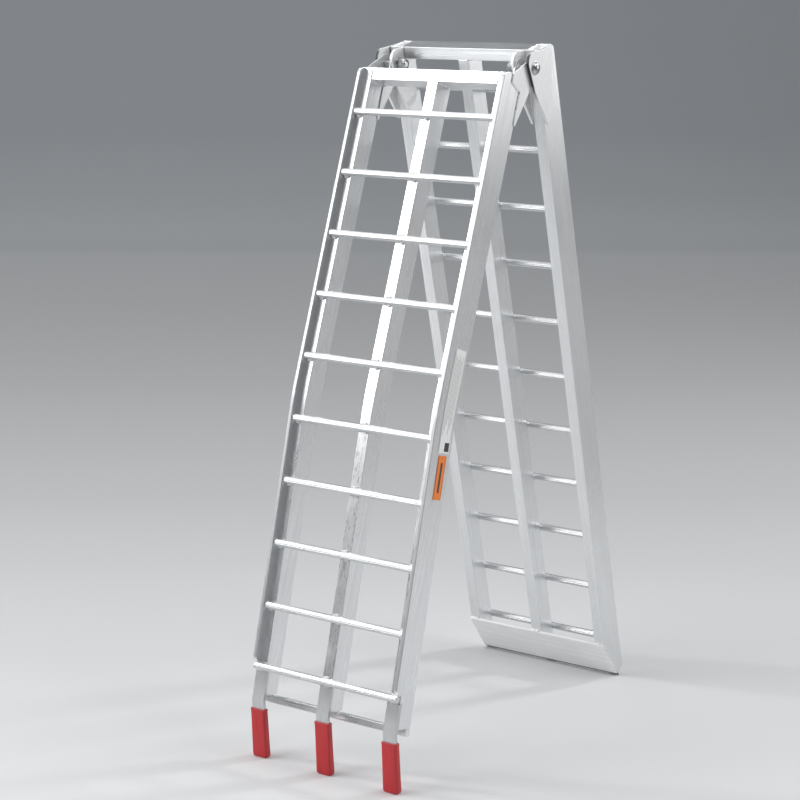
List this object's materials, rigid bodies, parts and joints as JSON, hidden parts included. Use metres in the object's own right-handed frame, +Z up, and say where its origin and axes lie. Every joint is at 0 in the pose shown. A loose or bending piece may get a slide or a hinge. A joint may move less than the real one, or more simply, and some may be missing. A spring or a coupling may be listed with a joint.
{
  "type": "folding loading ramp",
  "caption": "Ladder-style aluminium loading ramp in two hinged halves, with round rungs, a mitred foot plate and sleeved fingers that rest on a tailgate.",
  "frame": {"origin": "centre of the bounding box's base, on the floor the A-frame stands on", "axes": "+X along the rungs, from left to right seen from the front half; +Y from the front half to the back half; +Z up"},
  "size_m": [0.332, 0.7556, 1.2159],
  "materials": {
    "rail_aluminium": "mill-finish extrusion",
    "rung_aluminium": "fine lengthwise ribs",
    "plate_aluminium": "mill finish plate",
    "zinc_plated_steel": "zinc plated",
    "red_vinyl": "dipped vinyl, satin gloss",
    "white_label": "plain film",
    "orange_label": "plain film"
  },
  "bodies": {
    "back_half": {"back_centre_rail": "rail_aluminium", "back_crossbar": "rail_aluminium", "back_left_inner_plate": "plate_aluminium", "back_left_outer_plate": "plate_aluminium", "back_left_rail": "rail_aluminium", "back_right_inner_plate": "plate_aluminium", "back_right_outer_plate": "plate_aluminium", "back_right_rail": "rail_aluminium", "back_rung_01": "rung_aluminium", "back_rung_02": "rung_aluminium", "back_rung_03": "rung_aluminium", "back_rung_04": "rung_aluminium", "back_rung_05": "rung_aluminium", "back_rung_06": "rung_aluminium", "back_rung_07": "rung_aluminium", "back_rung_08": "rung_aluminium", "back_rung_09": "rung_aluminium", "back_rung_10": "rung_aluminium", "back_rung_11": "rung_aluminium", "foot_plate": "plate_aluminium", "left_hinge_bolt": "zinc_plated_steel", "left_hinge_nut": "zinc_plated_steel", "left_hinge_washer": "zinc_plated_steel", "right_hinge_bolt": "zinc_plated_steel", "right_hinge_nut": "zinc_plated_steel", "right_hinge_washer": "zinc_plated_steel"},
    "front_half": {"centre_finger": "plate_aluminium", "centre_sleeve": "red_vinyl", "front_centre_rail": "rail_aluminium", "front_crossbar": "rail_aluminium", "front_left_inner_plate": "plate_aluminium", "front_left_outer_plate": "plate_aluminium", "front_left_rail": "rail_aluminium", "front_right_inner_plate": "plate_aluminium", "front_right_outer_plate": "plate_aluminium", "front_right_rail": "rail_aluminium", "front_rung_01": "rung_aluminium", "front_rung_02": "rung_aluminium", "front_rung_03": "rung_aluminium", "front_rung_04": "rung_aluminium", "front_rung_05": "rung_aluminium", "front_rung_06": "rung_aluminium", "front_rung_07": "rung_aluminium", "front_rung_08": "rung_aluminium", "front_rung_09": "rung_aluminium", "front_rung_10": "rung_aluminium", "left_finger": "plate_aluminium", "left_sleeve": "red_vinyl", "lower_crossbar": "rail_aluminium", "orange_label": "orange_label", "right_finger": "plate_aluminium", "right_sleeve": "red_vinyl", "white_label": "white_label"}
  },
  "joints": [
    {"name": "fold", "type": "hinge", "parent": "back_half", "child": "front_half", "pos_m": [0, 0.0205, 1.1765], "axis": [-1, 0, 0], "range_deg": [-32.6, 146.8]}
  ]
}
